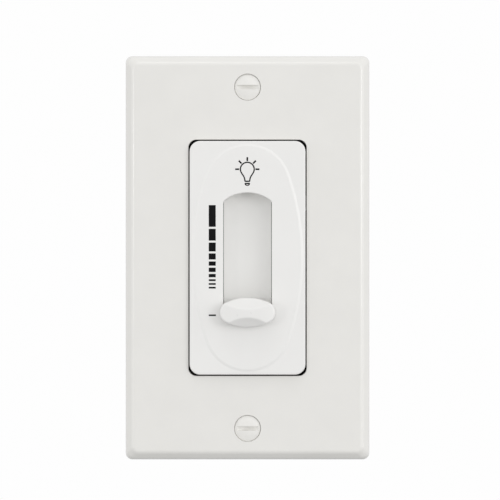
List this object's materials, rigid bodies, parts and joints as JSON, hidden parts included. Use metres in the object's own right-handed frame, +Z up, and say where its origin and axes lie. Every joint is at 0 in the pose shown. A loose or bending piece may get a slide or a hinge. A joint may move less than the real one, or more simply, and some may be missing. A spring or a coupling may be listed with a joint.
{
  "type": "dimmer slide switch",
  "caption": "Single-gang wall dimmer with a vertical slide knob in an arched channel, a bevelled wall plate, a mounting strap and a rear housing with its working parts inside.",
  "frame": {"origin": "middle of the wall surface, on which the wall plate's rim rests", "axes": "+X right, +Y back into the wall, +Z up, so the front faces -Y"},
  "size_m": [0.0694, 0.0423, 0.115],
  "materials": {
    "plate_plastic": "satin",
    "cover_plastic": "satin",
    "liner_plastic": "matte",
    "knob_plastic": "satin",
    "printed_ink": "flat black pad-printed ink",
    "white_enamel": "smooth white enamel on steel",
    "strap_metal": "rolled sheet, lightly brushed",
    "zinc_steel": "zinc-plated steel",
    "green_steel": "green dyed zinc plate",
    "fibre": "red-brown vulcanised fibre",
    "insulating_paper": "dark calendered insulating paper",
    "housing_plastic": "dark moulded thermoset",
    "board_laminate": "green solder mask on glass laminate",
    "track_laminate": "brown phenolic paper laminate",
    "carbon": "matt screen-printed carbon",
    "silver": "screen-printed silver",
    "tinned_metal": "bright tin plate",
    "thermal_rubber": "grey filled silicone",
    "epoxy": "black moulded epoxy",
    "rivet_metal": "plain aluminium",
    "core_powder": "yellow coated iron powder",
    "copper_wire": "enamelled copper",
    "film_case": "red-brown epoxy-filled case",
    "capacitor_case": "orange dipped case",
    "diac_case": "blue lacquer",
    "resistor_case": "beige lacquer",
    "terminal_brass": "bright brass",
    "acetal": "natural acetal",
    "carriage_plastic": "black nylon",
    "wiper_metal": "phosphor bronze"
  },
  "bodies": {
    "base": {"wall_plate": "plate_plastic", "plate_screw_upper": "white_enamel", "plate_screw_lower": "white_enamel", "face_cover": "cover_plastic", "channel_liner": "liner_plastic", "mounting_strap": "strap_metal", "ground_screw": "green_steel", "device_screw_upper": "zinc_steel", "device_screw_lower": "zinc_steel", "retaining_washer_upper": "fibre", "retaining_washer_lower": "fibre", "insulating_sheet": "insulating_paper", "back_housing": "housing_plastic", "circuit_board": "board_laminate", "pot_frame": "tinned_metal", "pot_track_board": "track_laminate", "resistive_track": "carbon", "contact_strip": "silver", "thermal_pad": "thermal_rubber", "triac_tab": "tinned_metal", "triac_body": "epoxy", "triac_rivet": "rivet_metal", "choke_core": "core_powder", "choke_winding": "copper_wire", "film_capacitor": "film_case", "timing_capacitor": "capacitor_case", "diac": "diac_case", "gate_resistor": "resistor_case", "snubber_resistor": "resistor_case", "terminal_plate_line": "terminal_brass", "terminal_plate_load": "terminal_brass", "terminal_screw_line": "terminal_brass", "terminal_screw_load": "terminal_brass", "housing_screw_1": "zinc_steel", "housing_screw_2": "zinc_steel", "housing_screw_3": "zinc_steel", "housing_screw_4": "zinc_steel", "pot_pin_1": "tinned_metal", "triac_lead_1": "tinned_metal", "pot_pin_2": "tinned_metal", "triac_lead_2": "tinned_metal", "pot_pin_3": "tinned_metal", "triac_lead_3": "tinned_metal"},
    "slider": {"slide_knob": "knob_plastic", "slider_yoke": "acetal", "slider_carrier": "acetal", "pot_carriage": "carriage_plastic", "pot_wiper": "wiper_metal"}
  },
  "joints": [
    {"name": "knob_slide", "type": "slide", "parent": "base", "child": "slider", "axis": [0, 0, 1], "range_m": [0, 0.0293]}
  ]
}
